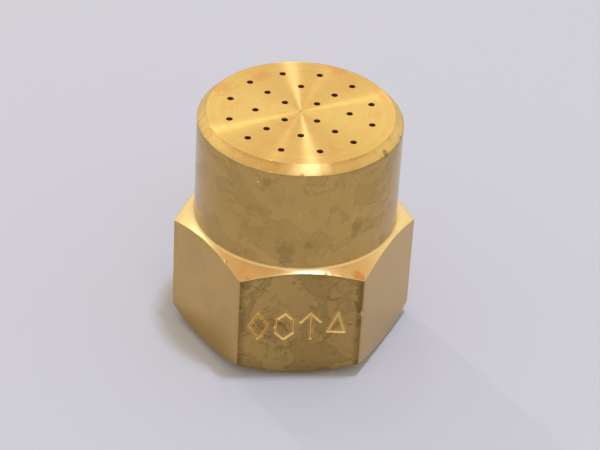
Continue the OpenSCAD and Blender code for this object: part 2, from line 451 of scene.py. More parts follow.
def eased_copy(name, node, round_width, material, body):
    """A new piece with a CAD node's outline and small rounds on its edges."""
    piece = new_object(name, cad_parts[node].data.copy())
    with editing(piece.data) as edit:
        bmesh.ops.remove_doubles(edit, verts=edit.verts, dist=MERGE_REACH * MM)
        bmesh.ops.dissolve_limit(
            edit, angle_limit=math.radians(0.5), verts=edit.verts, edges=edit.edges
        )
    rounding = piece.modifiers.new("rounds", "BEVEL")
    rounding.width = round_width * MM
    rounding.segments = 2
    rounding.limit_method = "ANGLE"
    rounding.angle_limit = math.radians(40)
    rounding.harden_normals = False
    bake_modifiers(piece)
    finish_piece(piece, material, body, node)


# ---- Material helpers ----

class NodeTree:
    """A node tree that is built one value at a time; values are numbers or sockets."""

    def __init__(self, tree):
        self.tree = tree

    def node(self, kind, settings=None, **inputs):
        made = self.tree.nodes.new(kind)
        for key, value in (settings or {}).items():
            setattr(made, key, value)
        for key, value in inputs.items():
            self.feed(made.inputs[key.replace("_", " ")], value)
        return made

    def feed(self, socket, value):
        if isinstance(value, bpy.types.NodeSocket):
            self.tree.links.new(value, socket)
        elif isinstance(value, tuple) and len(value) == 3 and socket.type == "RGBA":
            socket.default_value = (*value, 1.0)
        else:
            socket.default_value = value

    def maths(self, operation, a, b=0.0):
        made = self.node("ShaderNodeMath", {"operation": operation})
        self.feed(made.inputs[0], a)
        self.feed(made.inputs[1], b)
        return made.outputs[0]

    def times(self, a, b):
        return self.maths("MULTIPLY", a, b)

    def plus(self, a, b):
        return self.maths("ADD", a, b)

    def larger(self, a, b):
        return self.maths("MAXIMUM", a, b)

    def inverse(self, share):
        """What a share leaves of 1."""
        return self.maths("SUBTRACT", 1.0, share)

    def smooth(self, value, start, finish):
        """0 below start, 1 above finish and a smooth rise between."""
        kind = {"interpolation_type": "SMOOTHSTEP"}
        made = self.node("ShaderNodeMapRange", kind, Value=value, From_Min=start, From_Max=finish)
        return made.outputs["Result"]

    def noise(self, vector, scale, detail=3.0, roughness=0.55, distortion=0.0):
        made = self.node("ShaderNodeTexNoise", Vector=vector, Scale=scale, Detail=detail)
        made.inputs["Roughness"].default_value = roughness
        made.inputs["Distortion"].default_value = distortion
        return made.outputs["Fac"]

    def lines(self, coordinate, detail=3.0):
        """Noise along one coordinate, in the coordinate's own units."""
        kind = {"noise_dimensions": "1D"}
        made = self.node("ShaderNodeTexNoise", kind, W=coordinate, Scale=1.0, Detail=detail)
        return made.outputs["Fac"]

    def mixed(self, share, first, second):
        made = self.node("ShaderNodeMix", {"data_type": "RGBA"})
        for index, value in ((0, share), (6, first), (7, second)):
            self.feed(made.inputs[index], value)
        return made.outputs[2]

    def radius(self, x, y):
        return self.maths("SQRT", self.plus(self.times(x, x), self.times(y, y)))

    def vector(self, x, y, z):
        return self.node("ShaderNodeCombineXYZ", X=x, Y=y, Z=z).outputs[0]


class Shader(NodeTree):
    """The nodes of a new material."""

    def __init__(self, name):
        self.material = bpy.data.materials.new(name)
        self.material.use_nodes = True
        super().__init__(self.material.node_tree)
        self.surface = self.tree.nodes["Principled BSDF"]

    def attribute(self, name):
        return self.node("ShaderNodeAttribute", {"attribute_name": name}).outputs["Fac"]

    def place(self):
        """The place on the object as a vector and as x, y and z, in millimetres."""
        coordinates = self.node("ShaderNodeTexCoord")
        scaled = self.node("ShaderNodeVectorMath", {"operation": "SCALE"}, Scale=1 / MM)
        self.feed(scaled.inputs[0], coordinates.outputs["Object"])
        split = self.node("ShaderNodeSeparateXYZ", Vector=scaled.outputs[0])
        return (scaled.outputs[0], *split.outputs)

    def bump(self, height, depth):
        """Relief of this depth in millimetres where height goes from 0 to 1."""
        made = self.node("ShaderNodeBump", Strength=1.0, Distance=depth * MM, Height=height)
        self.feed(self.surface.inputs["Normal"], made.outputs["Normal"])

    def finish(self, colour, roughness, metallic=1.0):
        self.feed(self.surface.inputs["Base Color"], colour)
        self.feed(self.surface.inputs["Roughness"], roughness)
        self.surface.inputs["Metallic"].default_value = metallic
        return self.material


def round_grain(shader, strength=0.8):
    """Grooves that run round the axis stretch the shine across them."""
    tangent = shader.node("ShaderNodeTangent", {"direction_type": "RADIAL", "axis": "Z"})
    shader.feed(shader.surface.inputs["Tangent"], tangent.outputs[0])
    shader.surface.inputs["Anisotropic"].default_value = strength
    shader.surface.inputs["Anisotropic Rotation"].default_value = 0.25


def blot(shader, place, centre, radius):
    """1 inside a ragged spot round a point on the object, and 0 away from it."""
    away = shader.node("ShaderNodeVectorMath", {"operation": "DISTANCE"})
    shader.feed(away.inputs[0], place)
    away.inputs[1].default_value = centre
    ragged = shader.times(shader.noise(place, 1.3 / radius, 6.0, 0.65, 1.2), 3.4 * radius)
    rim = shader.smooth(shader.plus(away.outputs["Value"], ragged), 2.25 * radius, 2.75 * radius)
    return shader.inverse(rim)


def blots(shader, place, spots):
    """The strongest of several blots, each (centre, radius)."""
    share = 0.0
    for centre, radius in spots:
        share = shader.larger(share, blot(shader, place, centre, radius))
    return share


def scratches(shader, place, lean, rise):
    """Sparse fine scratches that all lean the same way."""
    split = shader.node("ShaderNodeSeparateXYZ", Vector=place)
    x, y, z = split.outputs
    side = shader.plus(shader.times(shader.plus(x, y), lean), shader.times(z, rise))
    run = shader.plus(shader.times(shader.plus(x, y), rise), shader.times(z, -lean))
    field = shader.noise(shader.vector(shader.times(side, 0.8), shader.times(run, 0.05), lean), 1.0, 2.0)
    near = shader.maths("ABSOLUTE", shader.maths("SUBTRACT", field, 0.5))
    gate = shader.smooth(shader.noise(place, 0.45, 2.0), 0.52, 0.60)
    return shader.times(gate, shader.inverse(shader.smooth(near, 0.0, 0.006)))


def body_brass():
    """Drawn flats and turned shoulder, barrel and chamfers, tarnished and water-stained. How dark each
    flat is, is partly painted shade, and the lighter stamped strokes are partly a painted highlight.
    """
    s = Shader("body_brass")
    place, x, y, z = s.place()
    r = s.radius(x, y)
    flat = s.attribute("flat")
    across = s.attribute("across")
    edge = s.attribute("edge")
    mark = s.attribute("mark")
    # Darkening level of each flat, the barrel and the bore: tarnish, and on the flats also painted
    # shade.
    tarnish_and_shade = s.attribute("tarnish_and_shade")
    not_flat = s.inverse(flat)

    turned = s.lines(s.times(s.maths("SUBTRACT", z, r), 9.0), 4.0)
    drawn = s.noise(s.vector(s.times(across, 7.0), s.times(z, 0.12), s.times(tarnish_and_shade, 9.0)), 1.0, 4.0)
    scratch = s.larger(scratches(s, place, 1.2, 0.8), scratches(s, place, -0.3, 1.0))
    scratch = s.times(scratch, 0.6)
    grain = s.plus(s.times(turned, s.times(not_flat, 0.3)), s.times(drawn, s.times(flat, 0.15)))

    shoulder = s.times(s.smooth(z, *SHOULDER_BEGINS), not_flat)
    shoulder = s.times(shoulder, s.inverse(s.smooth(z, *SHOULDER_ENDS)))
    rim = s.smooth(z, TOP - RIM_CHAMFER - 0.05, TOP - RIM_CHAMFER + 0.05)
    # Freshly cut metal stays clean and light. On the stamped strokes the lighter colour is partly clean
    # struck metal and partly a painted highlight.
    fresh_cut_and_glint = s.larger(s.larger(shoulder, s.times(rim, 0.75)), s.times(mark, 0.75))
    aged = s.inverse(fresh_cut_and_glint)

    cloud = s.noise(place, 0.20, 5.0, 0.6, 0.9)
    patch = s.smooth(cloud, 0.50, 0.54)
    deep = s.smooth(s.noise(place, 0.33, 5.0, 0.6, 1.4), 0.56, 0.60)
    shore = s.maths("ABSOLUTE", s.maths("SUBTRACT", cloud, 0.52))
    outline = s.inverse(s.smooth(shore, 0.003, 0.014))
    band = s.times(s.smooth(s.maths("ABSOLUTE", across), 6.6, 7.7), flat)
    foot = s.times(s.inverse(s.smooth(z, 1.2, 3.0)), flat)
    film = s.times(s.noise(place, 0.08, 3.0), 0.5)

    # Stain patches, their outlines and bands at the flats' corners and foot, scaled by each flat's
    # level, which is partly painted shade.
    dirt_and_shade = s.plus(s.times(patch, 0.30), s.times(deep, 0.25))
    dirt_and_shade = s.plus(dirt_and_shade, s.times(outline, 0.50))
    dirt_and_shade = s.plus(dirt_and_shade, s.times(s.larger(band, s.times(foot, 0.4)), 0.75))
    dirt_and_shade = s.times(s.times(dirt_and_shade, tarnish_and_shade), aged)
    dirt_and_shade = s.larger(dirt_and_shade, s.times(blots(s, place, WALL_BLOTS), 0.45))
    specks = s.smooth(s.noise(place, 3.0, 2.0), 0.71, 0.76)

    colour = s.mixed(s.noise(place, 0.5, 3.0), CLEAN_BRASS, PALE_BRASS)
    colour = s.mixed(s.times(aged, s.plus(0.55, film)), colour, DULL_BRASS)
    colour = s.mixed(s.times(aged, s.times(tarnish_and_shade, 0.35)), colour, TARNISH)
    colour = s.mixed(dirt_and_shade, colour, TARNISH)
    colour = s.mixed(s.times(specks, 0.35), colour, STAIN)
    colour = s.mixed(s.times(scratch, s.times(aged, 0.5)), colour, PALE_BRASS)
    warm = s.smooth(s.noise(place, 0.30, 4.0, 0.6, 0.8), 0.55, 0.68)
    warm = s.larger(s.times(warm, 0.25), s.times(blots(s, place, WARM_BLOTS), 0.8))
    colour = s.mixed(s.times(shoulder, 0.7), colour, SCUFFED_BRASS)
    colour = s.mixed(s.times(warm, fresh_cut_and_glint), colour, RED_BRASS)
    mottle = s.smooth(s.noise(place, 0.8, 5.0, 0.6, 0.6), 0.48, 0.66)
    colour = s.mixed(s.times(s.times(rim, mottle), 0.4), colour, DULL_BRASS)
    colour = s.mixed(s.times(blots(s, place, RIM_BLOTS), 0.6), colour, STAIN)
    colour = s.mixed(s.times(edge, s.times(tarnish_and_shade, 0.3)), colour, TARNISH)

    roughness = s.plus(0.13, s.times(dirt_and_shade, 0.18))
    roughness = s.plus(roughness, s.times(s.noise(place, 1.3, 4.0), 0.10))
    cut_marks = s.larger(shoulder, rim)
    roughness = s.plus(roughness, s.times(cut_marks, 0.14))
    grain = s.plus(grain, s.times(turned, s.times(cut_marks, 0.1)))
    grain = s.plus(grain, s.times(scratch, -0.3))
    s.bump(s.plus(grain, s.times(s.noise(place, 6.0, 3.0), 0.05)), 0.010)
    round_grain(s, 0.85)
    return s.finish(colour, roughness)


def face_brass():
    """Faced-off disc: fine concentric grooves, a centre pip and faint warm stains, with painted shade on
    the walls of the jets.
    """
    s = Shader("face_brass")
    place, x, y, z = s.place()
    r = s.radius(x, y)
    groove = s.maths("SINE", s.times(r, 2 * math.pi / GROOVE_PITCH))
    chatter = s.lines(s.times(r, 11.0), 4.0)
    bands = s.lines(s.times(r, 1.3), 3.0)
    pip = s.inverse(s.smooth(r, 0.05, 0.22))
    below_face = s.inverse(s.smooth(z, TOP - 0.04, TOP - 0.005))
    inside_rim = s.inverse(s.smooth(r, 10.5, 10.6))
    # The walls of the jets, which are painted dark brown as painted shade in the holes.
    jet_wall_shade = s.times(s.times(s.smooth(z, DISC_Z + 0.1, DISC_Z + 0.2), below_face), inside_rim)
    jet_wall_shade = s.times(jet_wall_shade, s.smooth(r, 1.0, 1.1))

    colour = s.mixed(s.times(s.smooth(bands, 0.35, 0.70), 0.5), CLEAN_BRASS, PALE_BRASS)
    colour = s.mixed(s.times(s.plus(groove, 1.0), 0.11), colour, DULL_BRASS)
    warm = s.times(s.smooth(s.noise(place, 0.22, 4.0, 0.6, 0.8), 0.50, 0.72), 0.45)
    warm = s.larger(warm, s.times(blots(s, place, FACE_BLOTS), 0.75))
    colour = s.mixed(warm, colour, RED_BRASS)
    dark = s.smooth(s.noise(place, 0.9, 5.0, 0.62), 0.66, 0.74)
    colour = s.mixed(s.times(dark, 0.2), colour, STAIN)
    colour = s.mixed(s.times(pip, 0.5), colour, STAIN)
    colour = s.mixed(s.times(jet_wall_shade, 0.93), colour, JET_WALL_SHADE_BROWN)

    roughness = s.plus(s.plus(0.21, s.times(bands, 0.02)), s.times(jet_wall_shade, 0.4))
    height = s.plus(s.times(groove, 0.3), s.times(chatter, 0.15))
    s.bump(s.plus(height, s.times(pip, -5.0)), 0.004)
    round_grain(s, 1.0)
    return s.finish(colour, roughness)


def inner_brass():
    """Clean turned brass of the valve parts."""
    s = Shader("inner_brass")
    place, x, y, z = s.place()
    feed = s.maths("SUBTRACT", z, s.radius(x, y))
    rings = s.lines(s.times(feed, 12.0), 4.0)
    colour = s.mixed(s.noise(place, 0.6, 3.0), CLEAN_BRASS, PALE_BRASS)
    dull = s.smooth(s.noise(place, 0.9, 5.0, 0.6, 0.5), 0.5, 0.75)
    colour = s.mixed(s.times(dull, 0.35), colour, TARNISH)
    roughness = s.plus(0.22, s.times(dull, 0.2))
    s.bump(rings, 0.006)
    round_grain(s, 0.5)
    return s.finish(colour, roughness)


def annealed_copper():
    s = Shader("annealed_copper")
    place, *_ = s.place()
    oxide = s.smooth(s.noise(place, 0.8, 5.0, 0.65, 0.6), 0.42, 0.72)
    colour = s.mixed(oxide, (0.90, 0.47, 0.32), (0.45, 0.17, 0.10))
    s.bump(s.noise(place, 5.0, 4.0), 0.01)
    return s.finish(colour, s.plus(0.32, s.times(oxide, 0.2)))


def steel(name, colour, dark, roughness, grain_depth):
    """Stainless or spring steel with a fine grain and a little discolouring."""
    s = Shader(name)
    place, *_ = s.place()
    cloud = s.smooth(s.noise(place, 0.7, 4.0, 0.6), 0.4, 0.75)
    tint = s.mixed(s.times(cloud, 0.6), colour, dark)
    s.bump(s.noise(place, 14.0, 3.0), grain_depth)
    return s.finish(tint, s.plus(roughness, s.times(cloud, 0.12)))


def black_rubber():
    s = Shader("black_rubber")
    place, *_ = s.place()
    bloom = s.smooth(s.noise(place, 1.2, 5.0, 0.6), 0.45, 0.8)
    colour = s.mixed(bloom, (0.018, 0.018, 0.019), (0.060, 0.060, 0.062))
    s.bump(s.noise(place, 12.0, 4.0), 0.008)
    s.surface.inputs["Specular IOR Level"].default_value = 0.4
    return s.finish(colour, s.plus(0.48, s.times(bloom, 0.25)), 0.0)


def red_fibre():
    """Vulcanised fibre: pressed layers, with fine flecks."""
    s = Shader("red_fibre")
    place, x, y, z = s.place()
    fibres = s.noise(s.vector(s.times(x, 2.2), s.times(y, 2.2), s.times(z, 9.0)), 1.0, 6.0, 0.65, 1.0)
    flecks = s.smooth(s.noise(place, 5.0, 3.0), 0.62, 0.72)
    colour = s.mixed(s.smooth(fibres, 0.3, 0.7), (0.30, 0.045, 0.030), (0.52, 0.11, 0.07))
    colour = s.mixed(s.times(flecks, 0.4), colour, (0.62, 0.25, 0.18))
    s.bump(s.plus(fibres, s.times(flecks, 0.3)), 0.03)
    return s.finish(colour, s.plus(0.55, s.times(fibres, 0.2)), 0.0)


# ---- Body ----

def hexagon_columns():
    """Angle, radius and corner flag of each column of the body's mesh, with an arc at each corner."""
    centre = (FLAT - CORNER_ROUND) / math.cos(math.radians(30))
    arc = []
    for step in range(CORNER_STEPS):
        turn = math.radians(30) * step / CORNER_STEPS
        out = centre + CORNER_ROUND * math.cos(turn)
        side = CORNER_ROUND * math.sin(turn)
        arc.append((math.atan2(side, out), math.hypot(side, out), 1.0))
    reach = (FLAT - CORNER_ROUND) * SLOPE
    flat = [
        (math.radians(30) + math.atan2(place, FLAT), math.hypot(place, FLAT), 0.0)
        for place in np.linspace(-reach, reach, FLAT_COLUMNS + 1)
    ]
    tail = [(math.radians(60) - angle, radius, 1.0) for angle, radius, _ in reversed(arc[1:])]
    return [
        (math.radians(60 * sector) + angle, radius, corner)
        for sector in range(6)
        for angle, radius, corner in arc + flat + tail
    ]


def outer_corners(hex_r):
    """Corners of the body's outside in the plane where the hexagon has this radius."""
    apex = HEX_TOP + FLAT * SLOPE
    return [
        (THREAD_MINOR_R + MOUTH_DEPTH, 0, 0),
        (FOOT_R, 0, EDGE_ROUND),
        (hex_r, (hex_r - FOOT_R) * SLOPE, EDGE_ROUND),
        (hex_r, apex - hex_r * SLOPE, EDGE_ROUND),
        (BARREL_R, apex - BARREL_R * SLOPE, NECK_ROUND),
        (BARREL_R, TOP - RIM_CHAMFER, EDGE_ROUND),
        (BARREL_R - RIM_CHAMFER, TOP, 0.03),
        (DISC_R + JOINT_EASE, TOP, 0),
        (DISC_R, TOP - JOINT_EASE, 0),
    ]


INNER_CORNERS = [
    (DISC_R, TOP - JOINT_EASE, 0),
    (DISC_R, DISC_LEDGE, 0.05),
    (CHAMBER_R, DISC_LEDGE, 0.08),
    (CHAMBER_R, GROOVE_TOP + 0.2, 0.2),
    (POCKET_R, GROOVE_TOP + 0.2, 0.05),
    (POCKET_R, GROOVE_TOP, 0.03),
    (GROOVE_R, GROOVE_TOP, 0.05),
    (GROOVE_R, HOUSING_TOP, 0.05),
    (POCKET_R, HOUSING_TOP, 0.03),
    (POCKET_R, POCKET_FLOOR, 0.2),
    (WEB_R, POCKET_FLOOR, 0.1),
    (WEB_R, LEDGE, 0.1),
    (RELIEF_R, LEDGE, 0.3),
    (RELIEF_R, THREAD_END, 0.05),
]


def thread_radius(turn, z):
    """Radius of the rounded pipe thread at an angle (in turns) and a height."""
    phase = (z / THREAD_PITCH - turn) % 1.0
    wave = abs(2 * phase - 1) * 2 - 1
    rounded = math.sin(max(-1.0, min(1.0, wave * 1.3)) * math.pi / 2)
    return THREAD_MINOR_R + THREAD_DEPTH * (0.5 + 0.5 * rounded)


def socket_radius(turn, z):
    """The thread, opened by the 45 degree lead-in at the mouth."""
    return max(thread_radius(turn, z), THREAD_MINOR_R + MOUTH_DEPTH - z)


def thread_strip(angles):
    """Rows of the thread that climb with it, so that each row follows a crest or a root."""
    columns = len(angles)
    rise = THREAD_PITCH / THREAD_ROWS
    rows = math.ceil((THREAD_END + THREAD_PITCH) / rise) + 1
    verts, faces = [], []
    for i in range(rows + 1):
        for angle in angles:
            turn = angle / (2 * math.pi)
            z = min(max(-THREAD_PITCH + rise * i + THREAD_PITCH * turn, 0.0), THREAD_END)
            r = socket_radius(turn, z)
            verts.append((r * math.cos(angle), r * math.sin(angle), z))

    def index(i, j):
        if j == columns:
            i, j = min(i + THREAD_ROWS, rows), 0
        return i * columns + j

    for i in range(rows):
        for j in range(columns):
            faces.append([index(i, j), index(i + 1, j), index(i + 1, j + 1), index(i, j + 1)])
    return verts, faces


def closed_mark(sides):
    """Strokes of an outline, between points in shares of the mark's half width and half height."""
    corners = []
    for i in range(sides + 1):
        angle = math.radians(90 + 360 * i / sides)
        corners.append((math.cos(angle), math.sin(angle)))
    return list(zip(corners, corners[1:]))


ARROW_MARK = [((0, -1), (0, 1)), ((0, 1), (1, 0.3)), ((0, 1), (-1, 0.3))]
MARKS = (closed_mark(4), closed_mark(6), ARROW_MARK, closed_mark(3))


def mark_strokes():
    """Ends and depth of every stroke, in millimetres on the front flat."""
    strokes = []
    for i, (mark, (turn, rise, hit)) in enumerate(zip(MARKS, MARK_HITS)):
        centre = np.array([MARK_CENTRE[0] + (i - 1.5) * MARK_PITCH, MARK_CENTRE[1] + rise])
        cos, sin = math.cos(math.radians(turn)), math.sin(math.radians(turn))
        for ends in mark:
            placed = []
            for u, v in ends:
                u, v = u * MARK_HALF[0], v * MARK_HALF[1]
                placed.append(centre + np.array([u * cos - v * sin, u * sin + v * cos]))
            strokes.append((placed[0], placed[1], MARK_DEPTH * hit))
    return strokes


def stamp(points, strokes):
    """How deep each (x, z) point is pressed in, and how much it belongs to a stroke.

    The metal round a stroke sinks a little further out, which leaves a lip along the groove.
    """
    pressed = np.zeros(len(points))
    share = np.zeros(len(points))
    sink = np.zeros(len(points))
    for start, finish, depth in strokes:
        run = finish - start
        along = np.clip((points - start) @ run / (run @ run), 0, 1)
        gap = np.linalg.norm(points - start - along[:, None] * run, axis=1) / STROKE_HALF
        inside = np.clip(1 - gap, 0, 1)
        pressed = np.maximum(pressed, depth * np.sin(inside * math.pi / 2) ** 0.8)
        beside = np.exp(-(((gap - SINK_PLACE) / SINK_WIDTH) ** 2))
        sink = np.maximum(sink, SINK_SHARE * depth * beside)
        share = np.maximum(share, np.clip(1.6 - gap, 0, 1))
    for centre, radius, depth in PITS:
        gap = np.linalg.norm(points - np.array(centre), axis=1) / radius
        pressed = np.maximum(pressed, depth * np.sqrt(np.clip(1 - gap * gap, 0, 1)))
        share = np.maximum(share, np.clip(1.4 - gap, 0, 1))
    return np.where(pressed > 0, pressed, sink), share


def column_looks(column, outer, on_round, length):
    """What every point of a column tells the material. The points after the outer ones are inside."""
    angle, hex_r, corner = column
    inside = length - len(outer)
    wall = [float(abs(r - hex_r) < 0.01) for r, _ in outer]
    rounds = [max(o, corner * w) for o, w in zip(on_round, wall)]
    sector = int(angle // math.radians(60)) % 6
    from_middle = (angle % math.radians(60)) - math.radians(30)
    # Each flat's level is partly tarnish and partly painted shade.
    stain_and_shade_level = [FLAT_TARNISH_AND_SHADE[sector] if w else BARREL_TARNISH for w in wall]
    return {
        "edge": rounds + [0.0] * inside,
        "flat": wall + [0.0] * inside,
        "across": [hex_r * math.sin(from_middle)] * length,
        "tarnish_and_shade": stain_and_shade_level + [BORE_TARNISH] * inside,
    }


def body_shell(columns):
    """Vertices and faces of the body but for its thread, and what each point tells the material."""
    inner, _ = trace(INNER_CORNERS, [INNER_RUN] * (len(INNER_CORNERS) - 1))
    verts, faces = [], []
    looks = {"edge": [], "flat": [], "across": [], "tarnish_and_shade": []}
    for column in columns:
        angle, hex_r, _ = column
        outer, on_round = trace(outer_corners(hex_r), OUTER_RUNS)
        thread_start = (thread_radius(angle / (2 * math.pi), THREAD_END), THREAD_END)
        path = outer + inner[1:] + [thread_start]
        verts += [(r * math.cos(angle), r * math.sin(angle), z) for r, z in path]
        for name, values in column_looks(column, outer, on_round, len(path)).items():
            looks[name] += values
    rows = len(verts) // len(columns)
    for j in range(len(columns)):
        k = (j + 1) % len(columns)
        for i in range(rows - 1):
            faces.append([j * rows + i, k * rows + i, k * rows + i + 1, j * rows + i + 1])
    return (verts, faces), looks


def body_piece(material):
    columns = hexagon_columns()
    shell, looks = body_shell(columns)
    thread = thread_strip([angle for angle, _, _ in columns])
    piece = mesh_object("brass_body", joined([shell, thread]))
    mesh = piece.data
    on_thread = [0.0] * len(thread[0])
    for name, values in looks.items():
        layer = mesh.attributes.new(name, "FLOAT", "POINT")
        layer.data.foreach_set("value", values + on_thread)
    mesh.attributes.new("mark", "FLOAT", "POINT")

    with editing(mesh) as edit:
        bmesh.ops.remove_doubles(edit, verts=edit.verts, dist=BODY_MERGE_REACH * MM)
        bmesh.ops.recalc_face_normals(edit, faces=edit.faces)
        refine(edit, in_stamp_window, MARK_CUTS)
        for knock in KNOCKS:
            refine(edit, lambda face, knock=knock: near_knock(face, knock), KNOCK_CUTS)
    press_marks(mesh)
    roughen_edges(mesh)
    finish_piece(piece, material, "head", "hex_body", sharp=35)


def refine(edit, wanted, cuts):
    """Cuts the edges of the wanted faces into shorter ones."""
    edges = {edge for face in edit.faces if wanted(face) for edge in face.edges}
    if edges:
        bmesh.ops.subdivide_edges(edit, edges=list(edges), cuts=cuts, use_grid_fill=True)


def in_stamp_window(face):
    centre = face.calc_center_median() / MM
    on_front = all(abs(v.co.y / MM + FLAT) < ON_PLANE for v in face.verts)
    beside = abs(centre.x - MARK_CENTRE[0]) < MARK_WINDOW[0]
    above = abs(centre.z - MARK_CENTRE[1]) < MARK_WINDOW[1]
    return on_front and beside and above


def near_knock(face, knock):
    centre, size, _ = knock
    return (face.calc_center_median() / MM - Vector(centre)).length < KNOCK_REACH * size


def read_points(mesh):
    points = np.empty(len(mesh.vertices) * 3)
    mesh.vertices.foreach_get("co", points)
    return points.reshape(-1, 3) / MM


def write_points(mesh, points):
    mesh.vertices.foreach_set("co", (points * MM).ravel())
    mesh.update()


def press_marks(mesh):
    """Presses the stamped row into the front flat and notes where it is."""
    points = read_points(mesh)
    front = np.abs(points[:, 1] + FLAT) < ON_PLANE
    depth, share = stamp(points[front][:, [0, 2]], mark_strokes())
    points[front, 1] += depth
    write_points(mesh, points)
    marks = np.zeros(len(points))
    marks[front] = share
    mesh.attributes["mark"].data.foreach_set("value", marks)


def roughen_edges(mesh):
    """Small unevenness along the edges, and the knocks."""
    points = read_points(mesh)
    edge = np.empty(len(points))
    mesh.attributes["edge"].data.foreach_get("value", edge)
    for i in np.nonzero(edge > 0.5)[0]:
        place = Vector(points[i])
        uneven = sum(noise.noise(place * often) * EDGE_WEAR for often in EDGE_WAVES)
        points[i, :2] *= 1 - max(uneven, 0.0) / place.xy.length
    for centre, size, depth in KNOCKS:
        gap = np.linalg.norm(points - np.array(centre), axis=1) / size
        push = depth * np.clip(1 - gap * gap, 0, 1) ** 2
        away = points[:, :2] / np.maximum(np.linalg.norm(points[:, :2], axis=1), 1e-6)[:, None]
        points[:, :2] -= away * push[:, None]
    write_points(mesh, points)


# ---- Spray disc ----

def jet_cutters():
    """A drill for each jet, opening a little at both faces, and the centre drill's pip."""
    flare = JET_EASE + DRILL_REACH
    drill = [
        (0, DISC_Z - DRILL_REACH),
        (JET_R + flare, DISC_Z - DRILL_REACH),
        (JET_R, DISC_Z + JET_EASE),
        (JET_R, TOP - JET_EASE),
        (JET_R + flare, TOP + DRILL_REACH),
        (0, TOP + DRILL_REACH),
    ]
    shapes = []
    for count, pitch_r, first, drift in JET_RINGS:
        for i in range(count):
            angle = math.radians(JET_TURN + first + 360 * i / count)
            out = pitch_r + (drift[i] if drift else 0)
            verts, faces = revolved(drill, JET_SIDES, closed=False)
            moved = [(x + out * math.cos(angle), y + out * math.sin(angle), z) for x, y, z in verts]
            shapes.append((moved, faces))
    pip = [(0, TOP - PIP_DEPTH), (PIP_R * 3, TOP + PIP_DEPTH * 2), (0, TOP + PIP_DEPTH * 2)]
    shapes.append(revolved(pip, 24, closed=False))
    return joined(shapes)


def disc_piece(material):
    outline = [
        (0, DISC_Z),
        (DISC_R - 0.15, DISC_Z),
        (DISC_R, DISC_Z + 0.15),
        (DISC_R, TOP - 0.02),
        (DISC_R - 0.02, TOP),
        (0, TOP),
    ]
    piece = mesh_object("spray_face", revolved(outline, DISC_COLUMNS, closed=False))
    cut(piece, jet_cutters())
    finish_piece(piece, material, "head", "spray_disc", sharp=20)


# ---- Valve ----

def valve_pieces(brass, rubber, stainless, spring_steel, copper):
    ring(
        "copper_gasket", CHAMBER_R + 0.2, high("disc_gasket").x, DISC_LEDGE, DISC_Z, 0.1,
        copper, "head", "disc_gasket",
    )
    cartridge_piece(brass)
    o_ring_piece(rubber)
    eased_copy("circlip", "retaining_ring", 0.12, spring_steel, "head")
    eased_copy("stem_guide", "spring_guide", 0.08, brass, "head")
    spindle_piece(stainless)
    poppet_pieces(brass, rubber, stainless)
    spring_piece(spring_steel)


def cartridge_piece(material):
    """The valve's housing: seat lip inside, O-ring groove outside and a step for the guide."""
    guide_r, guide_z = high("spring_guide").x, low("spring_guide").z
    groove_low = low("housing_o_ring").z - O_RING_PLAY
    groove_high = high("housing_o_ring").z + O_RING_PLAY
    groove_r = -low("housing_o_ring").x - O_RING_WIRE
    seat_floor = SEAT_Z - LIP_H
    corners = [
        (PORT_R, POCKET_FLOOR, 0.15),
        (HOUSING_R, POCKET_FLOOR, 0.15),
        (HOUSING_R, groove_low, 0.08),
        (groove_r, groove_low, 0.1),
        (groove_r, groove_high, 0.1),
        (HOUSING_R, groove_high, 0.08),
        (HOUSING_R, HOUSING_TOP, 0.15),
        (guide_r, HOUSING_TOP, 0.1),
        (guide_r, guide_z, 0.05),
        (ROOM_R, guide_z, 0.08),
        (ROOM_R, seat_floor, 0.3),
        (LIP_R, seat_floor, 0.08),
        (LIP_R, SEAT_Z, 0.1),
        (PORT_R, SEAT_Z, 0.1),
    ]
    turned_piece("valve_cartridge", corners, material, "head", "valve_housing", FINE_COLUMNS)


def o_ring_piece(material):
    """A slightly flattened round, with the mould's flash as a ridge on top and below."""
    low_z, high_z = low("housing_o_ring").z, high("housing_o_ring").z
    wire_r = (high_z - low_z) / 2
    mean_r = high("housing_o_ring").x - wire_r
    middle_z = (high_z + low_z) / 2
    outline = []
    for i in range(O_RING_SIDES):
        angle = 2 * math.pi * i / O_RING_SIDES
        flash = 1.025 if i in (O_RING_SIDES // 4, O_RING_SIDES * 3 // 4) else 1.0
        r = mean_r + wire_r * 0.999 * math.cos(angle)
        outline.append((r, middle_z + wire_r * 0.975 * flash * math.sin(angle)))
    piece = mesh_object("cartridge_o_ring", revolved(outline, FINE_COLUMNS))
    finish_piece(piece, material, "head", "housing_o_ring", sharp=60)


def spindle_piece(material):
    """The stem, riveted over below the retainer."""
    top = high("valve_stem").z
    rivet_r, rivet_low = high("valve_stem").x, low("valve_stem").z
    rivet_top = low("seal_retainer").z
    corners = [
        (0, rivet_low, 0),
        (rivet_r * 0.6, rivet_low, 0.5),
        (rivet_r, rivet_top - 0.15, 0.12),
        (rivet_r, rivet_top, 0.03),
        (STEM_R, rivet_top, 0),
        (STEM_R, top - 0.25, 0.1),
        (STEM_R - 0.25, top, 0.08),
        (0, top, 0),
    ]
    turned_piece(
        "valve_spindle", corners, material, "poppet", "valve_stem",
        columns=64, closed=False,
    )


